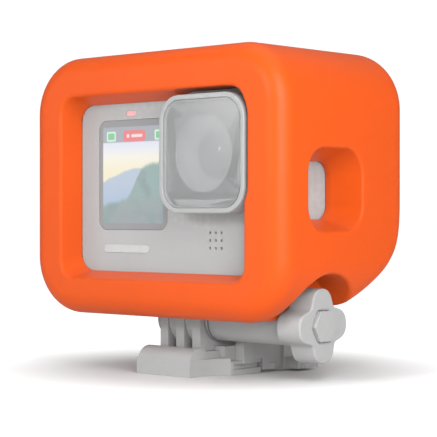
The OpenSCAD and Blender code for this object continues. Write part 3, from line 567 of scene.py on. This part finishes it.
def moulded(name, colour, rough, grain=0.35, depth=0.01, spread=0.06, rub=0.35, dust=0.08,
            smudge=0.4, ior=1.46):
    """Moulded plastic: fine texture, slight drift in tone, rubbed edges, dust and smudges."""
    material, g, shader = new_material(name)
    tone = g.group("tone drift", Colour=colour, Size=14.0, Spread=spread).outputs["Colour"]
    rubbed = g.group("rubbed edges", Amount=rub).outputs["Mask"]
    lighter = tuple(min(c * 1.22 + 0.02, 1.0) for c in colour[:3]) + (1.0,)
    tone = g.blend(rubbed, tone, lighter)
    veil = g.group("settled dust", Amount=dust).outputs["Mask"]
    tone = g.blend(veil, tone, PALE_DUST)
    g.feed(shader.inputs["Base Color"], tone)
    handled = g.group("handling smudges", Amount=smudge).outputs["Mask"]
    polished = g.math("SUBTRACT", rough, g.math("MULTIPLY", handled, 0.16))
    polished = g.math("SUBTRACT", polished, g.math("MULTIPLY", rubbed, 0.08))
    g.feed(shader.inputs["Roughness"], g.math("ADD", polished, g.math("MULTIPLY", veil, 0.3), clamp=True))
    shader.inputs["IOR"].default_value = ior
    add_bump(g, shader, g.group("fine grain", Size=grain).outputs["Height"], depth)
    return material


def foam_finish():
    material, g, shader = new_material("orange_foam_skin")
    skin = g.group("foam skin", Cell=0.55, Ripple=3.0)
    tone = g.group("tone drift", Colour=FOAM_ORANGE, Size=20.0, Spread=0.07).outputs["Colour"]
    tone = g.blend(g.math("MULTIPLY", skin.outputs["Pores"], 0.25), tone, FOAM_DEEP)
    rubbed = g.group("rubbed edges", Amount=0.22).outputs["Mask"]
    tone = g.blend(rubbed, tone, FOAM_WORN)
    veil = g.group("settled dust", Amount=0.05).outputs["Mask"]
    tone = g.blend(veil, tone, PALE_DUST)
    # the light it throws on the pieces near it is nearly colourless
    bounced = g.add("ShaderNodeLightPath").outputs["Is Diffuse Ray"]
    g.feed(shader.inputs["Base Color"], g.blend(g.math("MULTIPLY", bounced, FOAM_PALE_BOUNCE),
                                                tone, NEUTRAL_BOUNCE))
    handled = g.group("handling smudges", Size=16.0, Amount=0.5).outputs["Mask"]
    rough = g.math("SUBTRACT", FOAM_ROUGH, g.math("MULTIPLY", handled, 0.08))
    g.feed(shader.inputs["Roughness"], g.math("ADD", rough, g.math("MULTIPLY", veil, 0.2), clamp=True))
    shader.inputs["IOR"].default_value = 1.45
    shader.inputs["Specular IOR Level"].default_value = 0.28
    add_bump(g, shader, skin.outputs["Height"], 0.03)
    return material


def metal(name, colour, rough, size=0.12, depth=0.004):
    """Brushed or turned metal with faint lines and dull patches."""
    material, g, shader = new_material(name)
    lines = g.group("brushed lines", Size=size)
    dull = g.group("handling smudges", Size=5.0, Amount=0.6).outputs["Mask"]
    tone = g.group("tone drift", Colour=colour, Size=6.0, Spread=0.12).outputs["Colour"]
    darker = tuple(c * 0.7 for c in colour[:3]) + (1.0,)
    g.feed(shader.inputs["Base Color"], g.blend(g.math("MULTIPLY", dull, 0.5), tone, darker))
    uneven = g.math("MULTIPLY", lines.outputs["Lines"], 0.1)
    g.feed(shader.inputs["Roughness"],
           g.math("ADD", g.math("ADD", rough, uneven), g.math("MULTIPLY", dull, 0.2), clamp=True))
    shader.inputs["Metallic"].default_value = 1.0
    add_bump(g, shader, lines.outputs["Height"], depth)
    return material


def clear_cover(name, colour, pale, alpha, rough, ior):
    """Glass seen through in part, with a faint film of smudges, and a painted reflection that makes it palest
    at its upper outer corner.
    """
    material, g, shader = new_material(name)
    axes = g.add("ShaderNodeSeparateXYZ", {0: g.place()})
    # painted reflection: the base colour pales from the lens centre towards the upper outer corner
    rise = g.math("MULTIPLY", g.math("SUBTRACT", axes.outputs["Z"], LENS.z / MM), 0.8)
    painted_reflection_sweep = g.math("ADD", rise, g.math("MULTIPLY", g.math("SUBTRACT", axes.outputs["X"], LENS.x / MM), 0.6))
    tone = g.blend(g.step(painted_reflection_sweep, 0.0, 20.0), colour, pale)
    tone = g.group("tone drift", Colour=tone, Size=18.0, Spread=0.04).outputs["Colour"]
    veil = g.group("settled dust", Amount=0.1).outputs["Mask"]
    g.feed(shader.inputs["Base Color"], g.blend(veil, tone, PALE_DUST))
    film = g.group("handling smudges", Size=8.0, Amount=0.6).outputs["Mask"]
    g.feed(shader.inputs["Roughness"], g.math("ADD", rough, g.math("MULTIPLY", film, 0.07), clamp=True))
    shader.inputs["IOR"].default_value = ior
    shader.inputs["Alpha"].default_value = alpha
    add_bump(g, shader, g.noise(12.0, 1), 0.002)
    return material


def screen_glass(name, colour, rough):
    material, g, shader = new_material(name)
    tone = g.group("tone drift", Colour=colour, Size=25.0, Spread=0.04).outputs["Colour"]
    g.feed(shader.inputs["Base Color"], tone)
    film = g.group("handling smudges", Size=7.0, Amount=0.7).outputs["Mask"]
    g.feed(shader.inputs["Roughness"], g.math("ADD", rough, g.math("MULTIPLY", film, 0.12), clamp=True))
    shader.inputs["IOR"].default_value = 1.5
    add_bump(g, shader, g.noise(12.0, 2), 0.003)
    return material, g, shader


# ---------- the lit picture on the front screen ----------

def soft_box(g, x, z, centre, half, r, soft=0.12):
    """A mask for a rectangle with round corners."""
    out_x = g.math("SUBTRACT", g.math("ABSOLUTE", g.math("SUBTRACT", x, centre[0])), half[0] - r)
    out_z = g.math("SUBTRACT", g.math("ABSOLUTE", g.math("SUBTRACT", z, centre[1])), half[1] - r)
    past_x, past_z = g.math("MAXIMUM", out_x, 0.0), g.math("MAXIMUM", out_z, 0.0)
    corner = g.math("SQRT", g.math("ADD", g.math("MULTIPLY", past_x, past_x),
                                   g.math("MULTIPLY", past_z, past_z)))
    inner = g.math("MINIMUM", g.math("MAXIMUM", out_x, out_z), 0.0)
    distance = g.math("SUBTRACT", g.math("ADD", corner, inner), r)
    return g.step(distance, soft, -soft)


def landscape(g, x, z):
    """Hazy hills under a bright sky. x and z run in millimetres from the picture's corner."""
    wander = g.math("SUBTRACT", g.noise(3.2, 3, where=g.place((1, 0, 0.15))), 0.5)
    sky = g.blend(g.step(z, 12.5, 22.5), srgb(250, 240, 205), srgb(252, 250, 246))
    sky = g.blend(g.step(z, 17.5, 23.5), sky, srgb(228, 231, 246))
    far = g.math("ADD", g.math("MULTIPLY", x, 0.31), 11.7)
    far = g.math("ADD", g.math("MINIMUM", far, 15.2), g.math("MULTIPLY", wander, 1.2))
    far_mask = g.step(g.math("SUBTRACT", z, far), 0.35, -0.35)
    far_tone = g.blend(g.step(z, 5.5, 13.0), srgb(176, 196, 218), srgb(190, 203, 220))
    near = g.math("ADD", g.math("MULTIPLY", x, 0.16), 5.0)
    near = g.math("ADD", near, g.step(x, 8.5, 17.5, 0.0, 8.3))
    near = g.math("ADD", near, g.math("MULTIPLY", wander, 2.0))
    near_mask = g.step(g.math("SUBTRACT", z, near), 0.9, -0.7)
    near_tone = g.blend(g.step(z, 1.0, 12.0), srgb(155, 163, 165), srgb(150, 177, 172))
    near_tone = g.blend(g.step(g.noise(5.0, 3), 0.45, 0.7), near_tone, srgb(140, 160, 160))
    view = g.blend(far_mask, sky, far_tone)
    return g.blend(near_mask, view, near_tone)


PICTURE_INSET = (1.55, 1.8)
PICTURE_SIZE = (23.8, 27.0)
PICTURE_SOFT = 0.5
STRIP_Z = 22.7
SYMBOLS_Z = 24.4
PILL_X, DOT_X, BAR_X = 12.6, 10.1, 13.6
CHARGE_X = (3.35, 22.4)
SCREEN_BLACK = (0.04, 0.04, 0.045, 1)


def front_screen_finish():
    """Grey glass with a lit picture of hills, two charge symbols and a red recording pill."""
    material, g, shader = screen_glass("front_screen_picture", SCREEN_GREY, 0.14)
    axes = g.add("ShaderNodeSeparateXYZ", {0: g.place()})
    x = g.math("SUBTRACT", axes.outputs["X"], WINDOW[0].x / MM + PICTURE_INSET[0])
    z = g.math("SUBTRACT", axes.outputs["Z"], WINDOW[0].z / MM + PICTURE_INSET[1])
    half = (PICTURE_SIZE[0] / 2, PICTURE_SIZE[1] / 2)
    lit = soft_box(g, x, z, half, half, PICTURE_SOFT)
    picture = landscape(g, x, z)
    strip = g.step(z, STRIP_Z - 0.15, STRIP_Z + 0.15)
    picture = g.blend(strip, picture, srgb(170, 175, 183))
    pill = soft_box(g, x, z, (PILL_X, SYMBOLS_Z), (4.4, 1.6), 1.0)
    picture = g.blend(pill, picture, srgb(240, 128, 130))
    dot = soft_box(g, x, z, (DOT_X, SYMBOLS_Z), (0.55, 0.55), 0.55)
    bar = soft_box(g, x, z, (BAR_X, SYMBOLS_Z), (2.2, 0.42), 0.4)
    picture = g.blend(g.math("MAXIMUM", dot, bar), picture, srgb(252, 226, 226))
    for charge_x in CHARGE_X:
        centre = (charge_x, SYMBOLS_Z)
        picture = g.blend(soft_box(g, x, z, centre, (1.85, 1.4), 0.5), picture, srgb(214, 246, 222))
        picture = g.blend(soft_box(g, x, z, centre, (1.3, 0.9), 0.2), picture, srgb(134, 205, 158))
    g.feed(shader.inputs["Emission Color"], g.blend(lit, BLACK, picture))
    shader.inputs["Emission Strength"].default_value = 0.86
    dark = g.blend(lit, g.group("tone drift", Colour=SCREEN_GREY, Size=25.0, Spread=0.04)
                   .outputs["Colour"], SCREEN_BLACK)
    g.feed(shader.inputs["Base Color"], dark)
    return material


# ---------- finishes of every slot ----------

def board_finish():
    material, g, shader = new_material("circuit_board_mask")
    tracks = g.group("board tracks", Pitch=0.9)
    green = g.blend(g.math("MULTIPLY", tracks.outputs["Tracks"], 0.5), srgb(24, 92, 58), srgb(46, 128, 82))
    g.feed(shader.inputs["Base Color"], g.blend(tracks.outputs["Pads"], green, srgb(206, 190, 140)))
    g.feed(shader.inputs["Roughness"], g.math("ADD", 0.3, g.math("MULTIPLY", tracks.outputs["Pads"], 0.15)))
    raised = g.math("ADD", tracks.outputs["Tracks"], tracks.outputs["Pads"])
    add_bump(g, shader, raised, 0.03)
    return material


def light_finish():
    material, g, shader = new_material("status_light_pipe")
    tone = g.group("tone drift", Colour=srgb(222, 158, 162), Size=2.0, Spread=0.1).outputs["Colour"]
    g.feed(shader.inputs["Base Color"], tone)
    glow = g.blend(g.step(g.noise(1.5, 2), 0.3, 0.7), srgb(230, 140, 148), srgb(240, 190, 194))
    g.feed(shader.inputs["Emission Color"], glow)
    shader.inputs["Emission Strength"].default_value = 0.3
    shader.inputs["Roughness"].default_value = 0.2
    add_bump(g, shader, g.group("fine grain", Size=0.3).outputs["Height"], 0.004)
    return material


def slot_finishes():
    return {
        "orange_foam": foam_finish(),
        "camera_shell": moulded("camera_shell_satin", SHELL_GREY, 0.42, grain=0.22, depth=0.006),
        "mount_plastic": moulded("mount_plastic_satin", MOUNT_GREY, 0.48, grain=0.4, depth=0.006, spread=0.04,
                                 rub=0.12, dust=0.03, smudge=0.2),
        "button_plastic": moulded("button_plastic_satin", srgb(160, 160, 160), 0.4, grain=0.2, depth=0.006),
        "dark_plastic": moulded("lens_ring_plastic", srgb(186, 187, 188), 0.36, grain=0.18, depth=0.004),
        "inner_plastic": moulded("inner_plastic_matt", srgb(112, 113, 115), 0.6, grain=0.5, depth=0.015),
        "seal_rubber": moulded("seal_rubber_matt", srgb(52, 52, 53), 0.75, grain=0.3, depth=0.02, ior=1.5),
        "steel": metal("brushed_steel", srgb(196, 196, 198), 0.3),
        "heat_sink_metal": metal("satin_aluminium", srgb(214, 216, 219), 0.36, size=0.25),
        # the second colour is the painted reflection that the cover pales towards at its upper outer corner
        "cover_glass": clear_cover("lens_cover_glass", srgb(198, 199, 200), srgb(240, 240, 240),
                                   alpha=0.4, rough=0.22, ior=1.6),
        "lens_glass": screen_glass("lens_glass_coated", srgb(150, 151, 152), 0.05)[0],
        "screen_glass": screen_glass("screen_glass_grey", SCREEN_GREY, 0.12)[0],
        "display_panel": screen_glass("display_panel_dark", srgb(70, 92, 98), 0.2)[0],
        "light_pipe": light_finish(),
        "badge_plastic": moulded("badge_plastic_smooth", srgb(206, 207, 207), 0.3, grain=0.3, depth=0.003),
        "circuit_board": board_finish(),
        "battery_wrap": moulded("battery_wrap_smooth", srgb(88, 89, 92), 0.42, grain=0.6, depth=0.008),
    }


def dress(node, finish):
    piece = frame["nodes"][node]
    piece.data.materials.clear()
    piece.data.materials.append(finish)


def dress_pieces(foam):
    finishes = slot_finishes()
    for part in frame["record"]["subparts"]:
        dress(part["node"], finishes[part["material_slot"]])
    dress("lens_cover_frame", moulded("lens_cover_satin", COVER_GREY, 0.36, grain=0.2, depth=0.005))
    dress("clamp_bolt", finishes["mount_plastic"])
    dress("microphone", finishes["badge_plastic"])
    dress("front_display_window", front_screen_finish())
    foam.data.materials.append(finishes["orange_foam"])


# ---------- studio ----------

FLOOR_REACH = 4.0
FLOOR_DROP = 0.03 * MM
FLOOR_GLOW = 0.75
FLOOR_GLOW_UNSEEN = 0.14
AMBIENT = 0.29
BACKDROP = 1.05
VIEW_PLACE = Vector((294.35, -319.85, 43.90)) * MM
VIEW_AZIMUTH = math.radians(42.481)
VIEW_DIP = math.radians(0.1616)
VIEW_LENS = 126.98


def build_floor():
    mesh = bpy.data.meshes.new("floor")
    corners = [(-1, -1), (1, -1), (1, 1), (-1, 1)]
    mesh.from_pydata([(x * FLOOR_REACH, y * FLOOR_REACH, -FLOOR_DROP) for x, y in corners],
                     [], [(0, 1, 2, 3)])
    floor = bpy.data.objects.new("floor", mesh)
    bpy.context.scene.collection.objects.link(floor)
    material, g, shader = new_material("pale_floor")
    seen = g.add("ShaderNodeLightPath").outputs["Is Camera Ray"]
    pale = g.group("tone drift", Colour=(0.9, 0.9, 0.9, 1), Size=60.0, Spread=0.02).outputs["Colour"]
    g.feed(shader.inputs["Base Color"], g.blend(seen, (0.7, 0.7, 0.7, 1), pale))
    shader.inputs["Roughness"].default_value = 0.7
    # painted light: the floor glows more the farther it is from the object, so it fades into the white
    # backdrop away from the object and stays in shade near it
    flat = g.add("ShaderNodeVectorMath", {0: g.place(), 1: (1, 1, 0)}, operation="MULTIPLY").outputs[0]
    reach = g.add("ShaderNodeVectorMath", {0: flat}, operation="LENGTH").outputs["Value"]
    painted_floor_glow = g.math("MULTIPLY", g.step(reach, 22.0, 95.0), g.step(seen, 0.0, 1.0, FLOOR_GLOW_UNSEEN, 1.0))
    g.feed(shader.inputs["Emission Color"], g.blend(painted_floor_glow, BLACK, WHITE))
    shader.inputs["Emission Strength"].default_value = FLOOR_GLOW
    mesh.materials.append(material)


def build_world():
    """Even white light. The backdrop that shows is brighter than the light it gives."""
    world = bpy.data.worlds.new("studio")
    bpy.context.scene.world = world
    world.use_nodes = True
    world.node_tree.nodes.clear()
    g = Graph(world.node_tree)
    seen = g.add("ShaderNodeLightPath").outputs["Is Camera Ray"]
    strength = g.step(seen, 0.0, 1.0, AMBIENT, BACKDROP)
    background = g.add("ShaderNodeBackground", {"Color": WHITE, "Strength": strength})
    output = g.add("ShaderNodeOutputWorld")
    g.tree.links.new(background.outputs[0], output.inputs["Surface"])


def aim(thing, target):
    thing.rotation_euler = (Vector(target) - thing.location).to_track_quat("-Z", "Y").to_euler()


def soft_light(name, azimuth, elevation, distance, width, height, power):
    """An area light that faces the middle of the case. Azimuth 0 is in front, 90 on the lens side."""
    light = bpy.data.lights.new(name, "AREA")
    light.shape = "RECTANGLE"
    light.size = width
    light.size_y = height
    light.energy = power
    lamp = bpy.data.objects.new(name, light)
    lamp.visible_camera = False
    bpy.context.scene.collection.objects.link(lamp)
    a, e = math.radians(azimuth), math.radians(elevation)
    away = Vector((math.sin(a) * math.cos(e), -math.cos(a) * math.cos(e), math.sin(e)))
    target = middle(CASE)
    lamp.location = target + away * distance
    aim(lamp, target)


def build_lights():
    soft_light("key", 56, 22, 0.3, 0.12, 0.2, 0.52)
    soft_light("low_fill", 72, 2, 0.6, 0.3, 0.2, 0.5)
    soft_light("overhead", 10, 86, 0.9, 0.9, 0.9, 1.5)
    soft_light("front_left", -42, 10, 0.8, 0.3, 0.5, 0.64)
    soft_light("edge_strip", 48, 5, 0.7, 0.035, 0.45, 0.34)
    soft_light("front_spot", -4, 18, 0.6, 0.09, 0.12, 0.75)


def build_camera():
    camera = bpy.data.cameras.new("camera")
    camera.lens = VIEW_LENS
    camera.sensor_width = 36
    camera.clip_start = 0.01
    camera.clip_end = 20
    viewer = bpy.data.objects.new("camera", camera)
    bpy.context.scene.collection.objects.link(viewer)
    viewer.location = VIEW_PLACE
    viewer.rotation_euler = (math.pi / 2 - VIEW_DIP, 0, VIEW_AZIMUTH)
    bpy.context.scene.camera = viewer


foam = build_foam()
for node, width in EASED.items():
    ease(node, width * MM)
dress_pieces(foam)
build_floor()
build_world()
build_lights()
build_camera()
bpy.context.scene.view_settings.view_transform = "Standard"
bpy.context.scene.view_settings.look = "None"
